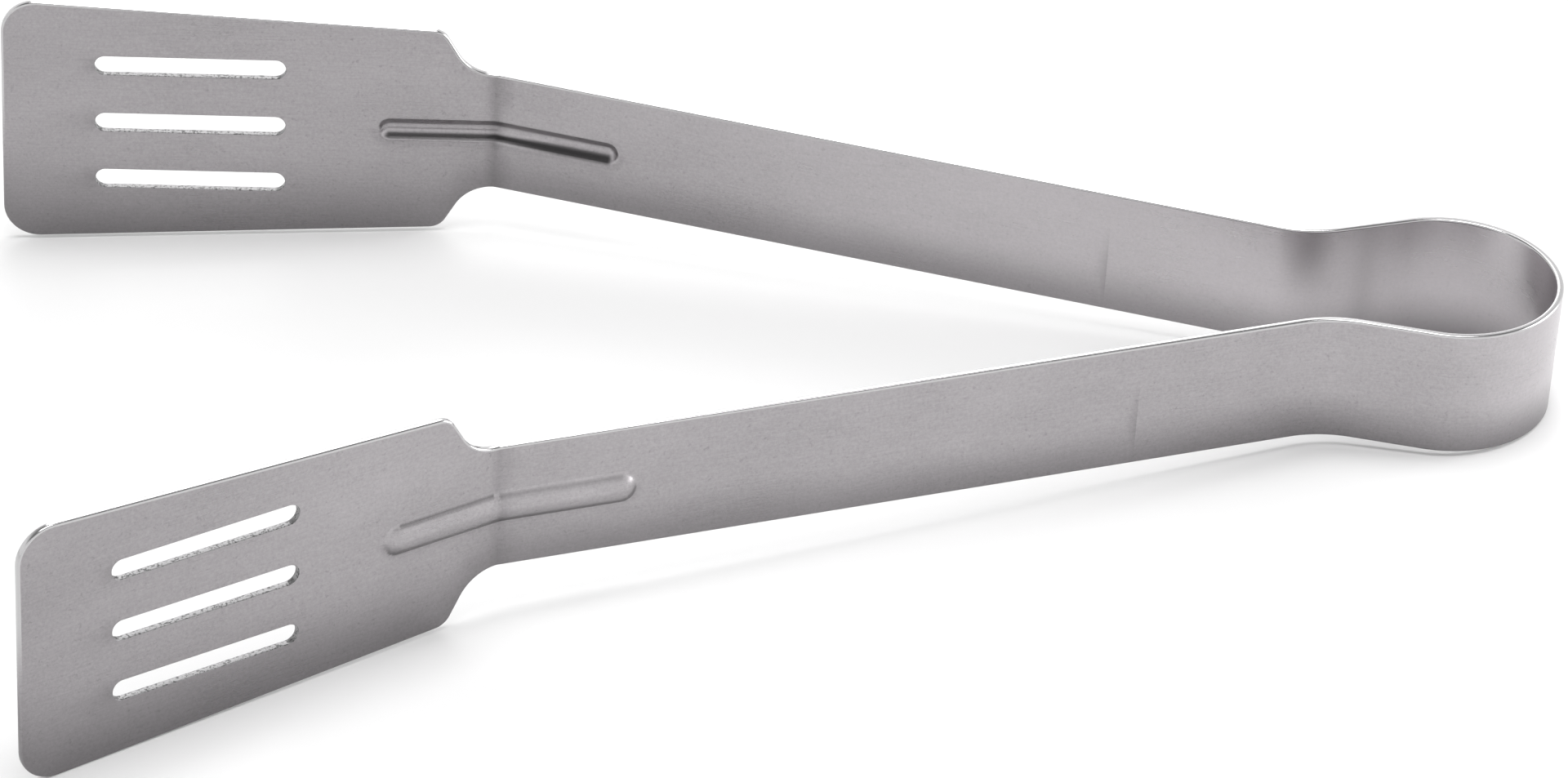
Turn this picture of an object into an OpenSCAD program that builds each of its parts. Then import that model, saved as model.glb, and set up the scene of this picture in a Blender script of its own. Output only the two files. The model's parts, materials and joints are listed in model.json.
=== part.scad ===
// Slotted spatula tongs, folded from one strip of stainless spring steel.
// The strip runs from one blade along its arm, in through a neck, round the spring bow and back the
// same way to the other blade. Squeezing the arms bends it, so it is divided at thin flexure lines,
// two on each side: one on the bow and one where the neck runs out into the arm. The lines are on
// the inside face of the strip. A crease and the end of a leg divide it too, and don't flex.
// The tongs stand on the edge of the strip, on the back of the bow and the lower corners of the blades.
// +X points to the back of the bow, +Y to the rear arm and +Z up; the origin is under the middle.

/* [Strip] */
// Width of the strip round the bow and along the necks and arms
strip_w = 22.5; // [18:0.5:28]
// Thickness of the sheet
sheet_t = 1.2; // [0.8:0.1:1.6]

/* [Bow and necks] */
// Radius of the spring bow, at the middle of the sheet
bow_r = 18.1; // [14:0.1:24]
// How far each side of the bow wraps in past square, in degrees
bow_wrap = 15; // [5:1:25]
// Straight leg between the bow and the neck
leg_len = 12; // [6:0.5:18]
// Radius of the neck, where the strip turns out into the arm
neck_r = 18.5; // [10:0.5:30]

/* [Arms] */
// Length of each arm, from the neck to the crease
arm_len = 137; // [100:1:180]
// Angle between the front arm and the middle of the bow, in degrees
front_splay = 17.2; // [10:0.1:24]
// Angle between the rear arm and the middle of the bow, in degrees
rear_splay = 19; // [10:0.1:24]

/* [Blades] */
// Length of each blade, from the crease to the tip
blade_len = 84.5; // [70:0.5:110]
// Width of the blade just past its shoulders
blade_root_w = 39.1; // [32:0.1:46]
// Width of the blade at its tip
blade_tip_w = 47; // [40:0.5:58]
// Radius of the tip's corners
tip_corner_r = 6; // [2:0.5:9]
// Outward bend of the front blade at its crease, in degrees
front_crank = 14; // [0:0.5:24]
// Inward bend of the rear blade at its crease, in degrees
rear_crank = 18.5; // [0:0.5:24]

/* [Shoulders] */
// Distance from the crease to the corner where the strip starts to widen
shoulder_start = 4.5; // [4:0.1:8]
// Slope of the shoulder, in degrees
shoulder_slope = 60; // [45:1:75]
// Radius of the hollow corner at the foot of the shoulder
shoulder_hollow_r = 7.3; // [3:0.1:8]
// Radius of the round corner at the top of the shoulder
shoulder_round_r = 3.3; // [1:0.1:4]

/* [Slots] */
// Length of each slot over its round ends
slot_len = 32.6; // [20:0.2:40]
// Width of each slot
slot_w = 3.6; // [2:0.1:4]
// Distance between the middles of neighbouring slots
slot_pitch = 11.2; // [8:0.1:12]
// Distance from the tip of the blade to the slots
slot_from_tip = 15.8; // [10:0.1:24]

/* [Stiffening ribs] */
// Width of the pressed rib, on the outside of the crease
rib_w = 5; // [4.4:0.1:6]
// Height of the pressed rib
rib_h = 1.4; // [1:0.1:1.8]
// Length of the rib on the blade, from the crease
rib_on_blade = 21; // [12:0.5:24]
// Length of the rib on the arm, from the crease
rib_on_arm = 23; // [12:0.5:30]

/* [Flexure lines] */
// Angle from the middle of the bow to its flexure lines, in degrees
bow_flexure = 50; // [30:1:75]
// Distance from the neck to the flexure line of the arm
arm_flexure = 4; // [2:0.5:20]
// Gap left at each flexure line
flex_gap = 0.04; // [0.02:0.01:0.1]

/* [Hidden] */

$fn = 96;
steel = [0.66, 0.65, 0.67];
slot_count = 3;
corner_steps = 10;
// Larger than the whole object, for the tools that cut at a plane
beyond = 400;

// ---- The strip's run, seen from above ------------------------------------------------------
// Each side is worked out as the rear one, with the bow's middle at the origin, and the front one is
// mirrored. A station is [point, heading]; the inside of the strip is on the left of the heading.

function along(angle) = [cos(angle), sin(angle)];
function left_of(angle) = [-sin(angle), cos(angle)];
function straight_on(station, len) = [station[0] + len * along(station[1]), station[1]];
function turned_right(station, r, angle) =
  [station[0] - r * left_of(station[1]) + r * left_of(station[1] - angle), station[1] - angle];

bow_end = [bow_r * along(90 + bow_wrap), 180 + bow_wrap];
leg_end = straight_on(bow_end, leg_len);
function neck_turn(splay) = bow_wrap + splay;
function neck_end(splay) = turned_right(leg_end, neck_r, neck_turn(splay));
function crease(splay) = straight_on(neck_end(splay), arm_len);
function blade_start(splay, crank) = [crease(splay)[0], crease(splay)[1] + crank];
function tip(splay, crank) = straight_on(blade_start(splay, crank), blade_len);

// The front blade bends the other way from the rear one, so that both lean to the same side.
front = [front_splay, -front_crank];
rear = [rear_splay, rear_crank];

// ---- The rib's section: two arcs on one centre, so that the sheet keeps its thickness ----------

rib_outer_r = (rib_h * rib_h + rib_w * rib_w / 4) / (2 * rib_h);
rib_inner_r = rib_outer_r - sheet_t;
rib_axis = rib_outer_r - rib_h - sheet_t / 2;
rib_crest = rib_h + sheet_t / 2;

// ---- The blade's outline --------------------------------------------------------------------

shoulder_end = shoulder_start + (blade_root_w - strip_w) / 2 / tan(shoulder_slope);
blade_flare = atan((blade_tip_w - blade_root_w) / 2 / (blade_len - shoulder_end));

function unit(v) = v / norm(v);
function bearing(v) = atan2(v[1], v[0]);
function short_way(angle) = (angle + 540) % 360 - 180;
// The corner at p between a and b, rounded by an arc of radius r.
function rounded(a, p, b, r) =
  let (
    u = unit(a - p),
    v = unit(b - p),
    half = acos(u * v) / 2,
    centre = p + unit(u + v) * r / sin(half),
    first = bearing(p + u * r / tan(half) - centre),
    sweep = short_way(bearing(p + v * r / tan(half) - centre) - first)
  )
  [for (i = [0:corner_steps]) centre + r * along(first + sweep * i / corner_steps)];

// One edge of the blade, from the crease to the tip, on the side where y is positive.
blade_corners = [
  [-beyond, strip_w / 2],
  [shoulder_start, strip_w / 2],
  [shoulder_end, blade_root_w / 2],
  [blade_len, blade_tip_w / 2],
  [blade_len, 0]
];
// The shoulder's two arcs shrink together where its slope is too short to hold both.
shoulder_slope_len = (blade_root_w - strip_w) / 2 / sin(shoulder_slope);
shoulder_arcs_len =
  shoulder_hollow_r * tan(shoulder_slope / 2) +
  shoulder_round_r * tan((shoulder_slope - blade_flare) / 2);
shoulder_fit = min(1, 0.98 * shoulder_slope_len / shoulder_arcs_len);
blade_edge = concat(
  [[-rib_w, strip_w / 2]],
  rounded(blade_corners[0], blade_corners[1], blade_corners[2], shoulder_fit * shoulder_hollow_r),
  rounded(blade_corners[1], blade_corners[2], blade_corners[3], shoulder_fit * shoulder_round_r),
  rounded(blade_corners[2], blade_corners[3], blade_corners[4], tip_corner_r)
);
blade_outline = concat(
  blade_edge,
  [for (i = [len(blade_edge) - 1:-1:0]) [blade_edge[i][0], -blade_edge[i][1]]]
);

// ---- How the tongs stand --------------------------------------------------------------------
// The blades reach lower than the bow, so the bow's end drops until both touch the ground.

// The round corner of a tip: its middle, along the blade and down from the middle of the strip.
corner_along = blade_len - tip_corner_r;
corner_down = blade_tip_w / 2 - tip_corner_r * tan(blade_flare) - tip_corner_r / cos(blade_flare);

function plan(side_y, v) = [v[0], side_y * v[1]];
function corner_at(side) = straight_on(blade_start(side[0], side[1]), corner_along)[0];
rest_tilt = atan(
  (corner_down + tip_corner_r - strip_w / 2) / (bow_r + sheet_t / 2 - corner_at(front)[0])
);
tilted_x = [cos(rest_tilt), 0, sin(rest_tilt)];
tilted_z = [-sin(rest_tilt), 0, cos(rest_tilt)];

// How far a tip's corner disc reaches along a direction, from the middle of the bow.
function disc_reach(side, side_y, face, z, direction) =
  let (
    normal = plan(side_y, left_of(blade_start(side[0], side[1])[1])),
    flat_at = plan(side_y, corner_at(side)) + face * sheet_t / 2 * normal,
    lean = [normal[0], normal[1], 0] * direction
  )
  [flat_at[0], flat_at[1], z] * direction + tip_corner_r * sqrt(1 - lean * lean);
function tip_reach(direction) =
  max([
    for (face = [-1, 1], z = [-corner_down, corner_down], s = [[front, -1], [rear, 1]])
      disc_reach(s[0], s[1], face, z, direction)
  ]);
// How far out from the middle of the bow one side of the tongs reaches.
function side_reach(side) =
  let (
    start = blade_start(side[0], side[1]),
    on_blade = straight_on(start, rib_on_blade - rib_w / 2)[0] - rib_crest * left_of(start[1]),
    at_tip = tip(side[0], side[1])[0]
  )
  max(
    on_blade[1],
    (at_tip - sheet_t / 2 * left_of(start[1]))[1],
    (start[0] - rib_crest / cos(side[1] / 2) * left_of(start[1] - side[1] / 2))[1]
  );

reach_back = (bow_r + sheet_t / 2) * cos(rest_tilt) + strip_w / 2 * sin(rest_tilt);
reach_tips = tip_reach(-tilted_x);
reach_down = max(
  tip_reach(-tilted_z),
  (bow_r + sheet_t / 2) * sin(rest_tilt) + strip_w / 2 * cos(rest_tilt)
);
standing = [
  (reach_tips - reach_back) / 2,
  (side_reach(front) - side_reach(rear)) / 2,
  reach_down
];

// ---- Pieces of strip ------------------------------------------------------------------------

module stand_up() {
  translate(standing)
    rotate([0, rest_tilt, 0])
      children();
}

module front_side() {
  stand_up()
    mirror([0, 1, 0])
      children();
}

module at_station(station) {
  translate([station[0][0], station[0][1], 0])
    rotate([0, 0, station[1]])
      children();
}

// An arc of strip about the z axis, with half a flexure gap left off the ends that ask for it.
module arc_of_strip(r, from, to, gap_before = 1, gap_after = 1) {
  gap_angle = flex_gap / 2 / r * 180 / PI;
  rotate([0, 0, from + gap_before * gap_angle])
    rotate_extrude(angle = to - from - (gap_before + gap_after) * gap_angle)
      translate([r - sheet_t / 2, -strip_w / 2])
        square([sheet_t, strip_w]);
}

// A straight run of strip along x.
module run_of_strip(from, to) {
  translate([from, -sheet_t / 2, -strip_w / 2])
    cube([to - from, sheet_t, strip_w]);
}

// Everything on the far side of an upright plane through the z axis, square to the given angle.
module past_plane(angle) {
  rotate([0, 0, angle])
    translate([0, -beyond / 2, -beyond / 2])
      cube(beyond);
}

// A bar along x with a ball end, for the ridge and the groove of a rib.
module ball_ended_bar(r, len) {
  rotate([0, 90, 0])
    rotate_extrude()
      intersection() {
        union() {
          translate([0, -rib_w])
            square([r, len + rib_w]);
          translate([0, len])
            circle(r);
        }
        translate([0, -beyond / 2])
          square(beyond);
      }
}

// Presses a rib into the flat sheet given as a child, outwards, from the crease to len along x.
module with_rib(len) {
  difference() {
    union() {
      children();
      intersection() {
        translate([0, rib_axis, 0])
          ball_ended_bar(rib_outer_r, len - rib_w / 2);
        translate([-beyond / 2, -beyond, -beyond / 2])
          cube(beyond);
      }
    }
    translate([0, rib_axis, 0])
      ball_ended_bar(rib_inner_r, len - rib_w / 2);
  }
}

// ---- Zones of one side ----------------------------------------------------------------------

// In a zone with an arc and a straight run, the arc starts from the run's end plane, so that the
// two meet exactly and are one solid.
module leg_zone() {
  at_station(bow_end) {
    mirror([1, 0, 0])
      translate([0, bow_r, 0])
        arc_of_strip(bow_r, -90, bow_wrap - bow_flexure, 0, 1);
    run_of_strip(0, leg_len);
  }
}

module neck_zone(side) {
  at_station(neck_end(side[0])) {
    translate([0, -neck_r, 0])
      arc_of_strip(neck_r, 90, 90 + neck_turn(side[0]), 0, 0);
    run_of_strip(0, arm_flexure - flex_gap / 2);
  }
}

module arm_zone(side) {
  at_station(crease(side[0]))
    difference() {
      rotate([0, 0, 180])
        mirror([0, 1, 0])
          with_rib(rib_on_arm)
            run_of_strip(-rib_w, arm_len - arm_flexure - flex_gap / 2);
      past_plane(side[1] / 2);
    }
}

module blade_zone(side) {
  at_station(blade_start(side[0], side[1]))
    difference() {
      with_rib(rib_on_blade)
        rotate([90, 0, 0])
          linear_extrude(sheet_t, center = true)
            blade_sheet();
      past_plane(180 - side[1] / 2);
    }
}

module blade_sheet() {
  difference() {
    polygon(blade_outline);
    for (i = [0:slot_count - 1])
      translate([blade_len - slot_from_tip - slot_len, (i - (slot_count - 1) / 2) * slot_pitch])
        slot();
  }
}

module slot() {
  translate([slot_w / 2, -slot_w / 2])
    square([slot_len - slot_w, slot_w]);
  translate([slot_w / 2, 0])
    circle(slot_w / 2);
  translate([slot_len - slot_w / 2, 0])
    circle(slot_w / 2);
}

// ---- Sub-parts ------------------------------------------------------------------------------

module bow_crown() {
  color(steel) stand_up() arc_of_strip(bow_r, -bow_flexure, bow_flexure);
}

module front_bow_leg() {
  color(steel) front_side() leg_zone();
}

module front_neck() {
  color(steel) front_side() neck_zone(front);
}

module front_arm() {
  color(steel) front_side() arm_zone(front);
}

module front_blade() {
  color(steel) front_side() blade_zone(front);
}

module rear_bow_leg() {
  color(steel) stand_up() leg_zone();
}

module rear_neck() {
  color(steel) stand_up() neck_zone(rear);
}

module rear_arm() {
  color(steel) stand_up() arm_zone(rear);
}

module rear_blade() {
  color(steel) stand_up() blade_zone(rear);
}

bow_crown();
front_bow_leg();
front_neck();
front_arm();
front_blade();
rear_bow_leg();
rear_neck();
rear_arm();
rear_blade();
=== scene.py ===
import json
import math

import bmesh
import bpy
import numpy as np
from bpy.props import FloatProperty, FloatVectorProperty, IntProperty, PointerProperty
from mathutils import Euler, Matrix, Vector
from mathutils.geometry import delaunay_2d_cdt


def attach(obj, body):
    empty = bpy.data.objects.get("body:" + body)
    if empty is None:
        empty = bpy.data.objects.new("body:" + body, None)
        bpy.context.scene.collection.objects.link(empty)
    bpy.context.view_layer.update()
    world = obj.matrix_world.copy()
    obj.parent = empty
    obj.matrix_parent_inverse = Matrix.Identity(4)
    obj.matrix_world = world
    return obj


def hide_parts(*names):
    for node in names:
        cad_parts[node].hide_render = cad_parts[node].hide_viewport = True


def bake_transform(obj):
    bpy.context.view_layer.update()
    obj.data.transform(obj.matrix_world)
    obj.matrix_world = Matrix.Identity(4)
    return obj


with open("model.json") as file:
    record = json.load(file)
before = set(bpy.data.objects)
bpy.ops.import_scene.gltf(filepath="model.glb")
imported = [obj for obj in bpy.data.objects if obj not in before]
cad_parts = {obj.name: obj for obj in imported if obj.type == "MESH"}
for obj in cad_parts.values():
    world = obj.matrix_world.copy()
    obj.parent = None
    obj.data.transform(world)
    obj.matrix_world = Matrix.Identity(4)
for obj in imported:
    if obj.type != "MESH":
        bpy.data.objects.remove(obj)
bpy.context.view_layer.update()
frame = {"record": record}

bl_info = {
    "name": "Slotted spatula tongs",
    "version": (1, 0, 0),
    "blender": (4, 5, 0),
    "location": "3D View > Sidebar > Tongs",
    "description": "Folds a pair of slotted spatula tongs from one strip of satin steel",
    "category": "Object",
}

SIDES = ("front", "rear")
MM = 0.001

# how the meshes are divided
HOLD = 0.12 * MM  # from an edge's rounding to the loop beside it
STRIP_STEP = 0.16 * MM
STRIP_ROWS, STRIP_ROWS_REACH = 9, 0.42
CORNER_STEPS = 14
EDGE_STEPS = 5
SLOT_END_STEPS = 14
BOW_POINTS = 81
ALMOST_HALF = 0.4999  # of a slot's width, so that the arcs at its ends don't quite meet
FOLD_ROWS = 9
CUT_POINTS = 9
RIM_COLUMN = 3  # the plate's stored values: run, across, low, then rim, slot wall, fold with its painted shade, painted light
SHARP_ANGLE = math.radians(50)


# ---- Sizes and finish ---------------------------------------------------------------------------


def length(name, default, description):
    return FloatProperty(
        name=name,
        description=description,
        default=default,
        min=0.0,
        unit="LENGTH",
        subtype="DISTANCE",
        precision=5,
    )


def angle(name, degrees, description):
    return FloatProperty(
        name=name, description=description, default=math.radians(degrees), subtype="ANGLE"
    )


class TongsSizes(bpy.types.PropertyGroup):
    """The sizes that the strip is cut and folded to"""

    strip_width: length("Strip width", 0.0225, "Width of the strip round the bow and the arms")
    thickness: length("Thickness", 0.0012, "Thickness of the sheet")
    edge_radius: length("Edge radius", 0.00035, "Rounding of the strip's edges")
    slot_edge: length("Slot edge radius", 0.0001, "Rounding of the slots' edges")
    bow_radius: length("Bow radius", 0.0181, "Radius of the bow, at the middle of the sheet")
    bow_wrap: angle("Bow wrap", 15.0, "How far each side of the bow wraps in past square")
    leg_length: length("Leg length", 0.012, "Straight leg between the bow and the neck")
    neck_radius: length("Neck radius", 0.0185, "Radius of the neck")
    arm_length: length("Arm length", 0.137, "Length of each arm, from the neck to the crease")
    front_splay: angle("Front splay", 17.2, "Angle of the front arm to the middle of the bow")
    rear_splay: angle("Rear splay", 19.0, "Angle of the rear arm to the middle of the bow")
    front_crank: angle("Front crank", -14.0, "Bend of the front blade, inwards, at its crease")
    rear_crank: angle("Rear crank", 18.5, "Bend of the rear blade, inwards, at its crease")
    crease_radius: length("Crease radius", 0.003, "Radius of the fold, at the middle of the sheet")
    blade_length: length("Blade length", 0.0845, "Length of each blade, from the crease")
    root_width: length("Blade root width", 0.0391, "Width of the blade past its shoulders")
    tip_width: length("Blade tip width", 0.047, "Width of the blade at its tip")
    tip_radius: length("Tip corner radius", 0.006, "Radius of the tip's corners")
    shoulder_start: length("Shoulder start", 0.0045, "From the crease to the shoulder's foot")
    shoulder_slope: angle("Shoulder slope", 60.0, "Slope of the shoulder")
    hollow_radius: length("Shoulder hollow", 0.0073, "Radius at the foot of the shoulder")
    round_radius: length("Shoulder round", 0.0033, "Radius at the top of the shoulder")
    slot_count: IntProperty(
        name="Slots", description="Number of slots in a blade", default=3, min=1, max=5
    )
    slot_length: length("Slot length", 0.0326, "Length of a slot over its round ends")
    slot_width: length("Slot width", 0.0036, "Width of a slot")
    slot_pitch: length("Slot pitch", 0.0112, "Distance between the middles of the slots")
    slot_margin: length("Slot margin", 0.0158, "Distance from the tip to the slots")
    rib_height: length("Rib height", 0.0014, "Height of the pressed rib")
    ridge_half: length("Ridge half width", 0.0028, "Half width of the rib's outer ridge")
    groove_half: length("Groove half width", 0.0021, "Half width of the rib's inner groove")
    rib_on_blade: length("Rib on blade", 0.021, "Length of the rib past the crease")
    rib_on_arm: length("Rib on arm", 0.023, "Length of the rib before the crease")
    still_half: angle("Still half", 20.0, "Half of the bow's back that doesn't flex")
    flex_end: angle("Flex end", 80.0, "Angle on the bow where its flexing ends")
    leg_share: FloatProperty(
        name="Leg share",
        description="Share of the leg that stays rigid before the neck's flexing stretch",
        default=0.5,
        subtype="FACTOR",
    )
    arm_flex: length("Arm flex", 0.028, "Length of arm that flexes with the neck")


class TongsFinish(bpy.types.PropertyGroup):
    """The finish of the steel, and the studio"""

    steel: FloatVectorProperty(
        name="Steel", description="Colour of the satin faces", default=(0.385, 0.368, 0.379),
        subtype="COLOR", min=0.0, max=1.0,
    )
    # the bright edges: polished, and on the upper rims also a painted highlight
    bright: FloatVectorProperty(
        name="Bright edge", description="Colour of the bright edges", default=(0.52, 0.515, 0.52),
        subtype="COLOR", min=0.0, max=1.0,
    )
    roughness: FloatProperty(
        name="Roughness", description="Roughness of the satin faces", default=0.3,
        subtype="FACTOR", min=0.0, max=1.0,
    )
    edge_roughness: FloatProperty(
        name="Edge roughness", description="Roughness of the bright edges", default=0.16,
        subtype="FACTOR", min=0.0, max=1.0,
    )
    # painted shade along the lower edges
    low_shade: FloatProperty(
        name="Low shade", description="How much darker the steel is along its lower edges",
        default=0.55, subtype="FACTOR", min=0.0, max=1.0,
    )
    floor: FloatVectorProperty(
        name="Floor", description="Colour of the floor", default=(0.82, 0.82, 0.82),
        subtype="COLOR", min=0.0, max=1.0,
    )


def sizes():
    return bpy.context.scene.tongs_sizes


def finish():
    return bpy.context.scene.tongs_finish


# ---- The strip's run, seen from above -----------------------------------------------------------
# As in the frame's own plan: the middle of the bow is the origin, and the rear side is worked out
# and the front one mirrored. A station is a point, a heading and the run from the bow's back.


def along(heading):
    return np.array([math.cos(heading), math.sin(heading)])


def left_of(heading):
    return np.array([-math.sin(heading), math.cos(heading)])


def rest_matrix():
    """Places the plan in the row frame: the hang_loop mount is at the bow's middle, on its axis."""
    mount = next(m for m in frame["record"]["mounts"] if m["name"] == "hang_loop")
    up = Vector(mount["axis"]).normalized()
    across = Vector((0, 1, 0))
    matrix = Matrix.Identity(4)
    for i, column in enumerate((across.cross(up), across, up, Vector(mount["pos_m"]))):
        matrix.col[i][:3] = column
    return matrix


class Run:
    """The middle line of one side of the strip, from the back of the bow to the crease."""

    def __init__(self, side):
        s = sizes()
        self.s = s
        self.mirror = -1.0 if side == "front" else 1.0
        self.splay = s.front_splay if side == "front" else s.rear_splay
        self.crank = s.front_crank if side == "front" else s.rear_crank
        self.bow_end = s.bow_radius * (math.pi / 2 + s.bow_wrap)
        self.leg_end = self.bow_end + s.leg_length
        self.turn = s.bow_wrap + self.splay
        self.neck_end = self.leg_end + s.neck_radius * self.turn
        self.crease = self.neck_end + s.arm_length

    def at(self, run):
        """The point and heading at a run, on the rear side."""
        s = self.s
        if run <= self.bow_end:
            turned = run / s.bow_radius
            return s.bow_radius * along(turned), turned + math.pi / 2
        point, heading = self.at(self.bow_end)
        if run <= self.leg_end:
            return point + (run - self.bow_end) * along(heading), heading
        point = point + s.leg_length * along(heading)
        turned = min(run - self.leg_end, s.neck_radius * self.turn) / s.neck_radius
        centre = point - s.neck_radius * left_of(heading)
        end = heading - turned
        point = centre + s.neck_radius * left_of(end)
        return point + max(run - self.neck_end, 0.0) * along(end), end

    def bow(self, turned):
        """The run at an angle from the bow's back."""
        return self.s.bow_radius * turned

    def in_row(self, run, inward=0.0):
        """A point at a run, in the row frame."""
        point, heading = self.at(run)
        point = point + inward * left_of(heading)
        return rest_matrix() @ Vector((point[0], self.mirror * point[1], 0.0))


# ---- Shader maths -------------------------------------------------------------------------------


class Value:
    """A socket that can be used in sums."""

    def __init__(self, tree, socket):
        self.tree = tree
        self.socket = socket

    def _math(self, operation, a, b):
        return self.tree.node("ShaderNodeMath", {"operation": operation}, {0: a, 1: b})

    def __add__(self, other):
        return self._math("ADD", self, other)

    def __radd__(self, other):
        return self._math("ADD", other, self)

    def __sub__(self, other):
        return self._math("SUBTRACT", self, other)

    def __rsub__(self, other):
        return self._math("SUBTRACT", other, self)

    def __mul__(self, other):
        return self._math("MULTIPLY", self, other)

    def least(self, other):
        return self._math("MINIMUM", self, other)

    def most(self, other):
        return self._math("MAXIMUM", self, other)

    def step(self, start, end):
        """0 before start, 1 after end, and smooth between them."""
        return self.tree.node(
            "ShaderNodeMapRange",
            {"interpolation_type": "SMOOTHSTEP"},
            {"Value": self, "From Min": start, "From Max": end},
        )


class Shader:
    """A node tree of shaders, written as expressions."""

    def __init__(self, owner):
        owner.use_nodes = True
        self.owner = owner
        self.tree = owner.node_tree

    def node(self, kind, settings=None, inputs=None, output=0):
        made = self.tree.nodes.new(kind)
        for key, value in (settings or {}).items():
            setattr(made, key, value)
        for key, value in (inputs or {}).items():
            self.feed(made.inputs[key], value)
        return Value(self, made.outputs[output])

    def feed(self, socket, value):
        if isinstance(value, Value):
            self.tree.links.new(value.socket, socket)
        else:
            socket.default_value = value

    def attribute(self, name, output="Fac"):
        return self.node("ShaderNodeAttribute", {"attribute_name": name}, output=output)

    def point(self, kind="Object"):
        return self.node("ShaderNodeTexCoord", output=kind)

    def split(self, vector):
        made = self.node("ShaderNodeSeparateXYZ", inputs={0: vector}).socket.node
        return [Value(self, out) for out in made.outputs]

    def joined(self, x, y, z=0.0):
        return self.node("ShaderNodeCombineXYZ", inputs={0: x, 1: y, 2: z})

    def noise(self, vector, scale, detail, roughness):
        return self.node(
            "ShaderNodeTexNoise",
            {"noise_dimensions": "3D"},
            {"Vector": vector, "Scale": scale, "Detail": detail, "Roughness": roughness},
        )

    def mixed(self, factor, first, second):
        """Two colours, mixed."""
        made = self.tree.nodes.new("ShaderNodeMix")
        made.data_type = "RGBA"
        self.feed(made.inputs[0], factor)
        self.feed(made.inputs[6], first)
        self.feed(made.inputs[7], second)
        return Value(self, made.outputs[2])

    def finish(self, node_name, **values):
        """Feeds the node that the tree starts with."""
        for name, value in values.items():
            self.feed(self.tree.nodes[node_name].inputs[name.replace("_", " ")], value)


def shaded(colour, amount):
    """A colour made lighter or darker, with full alpha."""
    return (*(min(1.0, c * amount) for c in colour), 1.0)


# ---- Materials ----------------------------------------------------------------------------------


def satin_steel():
    """Satin stainless sheet: a fine lengthwise grain, faint speckle and smudges, with painted shade
    towards its lower edge and round the creases, painted light inside the bow, and bright edges and
    slot walls, the upper rims lighter as a painted highlight."""
    found = bpy.data.materials.get("satin_steel")
    if found:
        return found
    f = finish()
    m = Shader(bpy.data.materials.new("satin_steel"))
    run, across, low = m.split(m.attribute("strip", "Vector"))
    rim = m.attribute("rim")
    slot = m.attribute("slot_wall")
    fold = m.attribute("fold")
    painted_light = m.attribute("painted_light")
    point = m.point()

    # the outer rims are polished, and lighter above as a painted highlight; below they are satin
    polish_and_highlight = (rim * across.step(-0.006, 0.008)).most(slot)

    grain = m.noise(m.joined(run * 0.05, across), scale=3400.0, detail=3.0, roughness=0.65) - 0.5
    speckle = m.noise(point, scale=1900.0, detail=2.0, roughness=0.75) - 0.5
    pits = m.noise(point, scale=1150.0, detail=3.0, roughness=0.7).step(0.6, 0.7)
    smudge = m.noise(m.joined(run * 0.45, across), scale=70.0, detail=3.0, roughness=0.55) - 0.5
    cloud = m.noise(point, scale=24.0, detail=2.0, roughness=0.5) - 0.5

    # the satin faces: a share between a darker and a lighter steel
    shade = 0.5 + grain * 0.36 + speckle * 0.6 + smudge * 0.42 + cloud * 0.3
    shade = (shade - pits * 0.2).most(0.0).least(1.0)
    face = m.mixed(shade, shaded(f.steel, 0.66), shaded(f.steel, 1.34))
    # painted shade at the creases, the rib, the neck and the leg; also darker at the tip and past
    # the slot ends
    face = m.mixed((fold * 0.42).least(0.93), face, shaded(f.steel, 0.12))
    # painted light: the inside of the bow and the outside round its back made lighter
    face = m.mixed(painted_light, face, shaded(f.steel, 2.2))
    # painted shade: the steel darker towards its lower edge
    face = m.mixed(low.step(0.1, 1.05) * f.low_shade, face, shaded(f.steel, 0.25))

    # the walls of the slots: bright, with dark flecks along them
    flecks = m.noise(point, scale=2300.0, detail=3.0, roughness=0.7).step(0.5, 0.6)
    wall = m.mixed(flecks, shaded(f.bright, 0.5), shaded(f.bright, 0.14))
    m.finish(
        "Principled BSDF",
        Base_Color=m.mixed(polish_and_highlight, face, m.mixed(slot, shaded(f.bright, 1.0), wall)),
        Metallic=1.0,
        Roughness=(
            (f.roughness + grain * 0.14 + smudge * 0.12 + pits * 0.1) * (1.0 - polish_and_highlight)
            + polish_and_highlight * (f.edge_roughness + slot * 0.2)
        ),
        Normal=m.node(
            "ShaderNodeBump",
            inputs={
                "Strength": 0.13,
                "Distance": 0.00002,
                "Height": (
                    grain * (1.0 - polish_and_highlight) + speckle * 0.9 - pits * 0.8 + flecks * slot * 1.6
                ),
            },
        ),
    )
    return m.owner


def floor_paint():
    m = Shader(bpy.data.materials.new("floor_paint"))
    m.finish("Principled BSDF", Base_Color=(*finish().floor, 1.0), Roughness=0.9)
    return m.owner


# ---- Geometry Nodes -----------------------------------------------------------------------------


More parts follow.
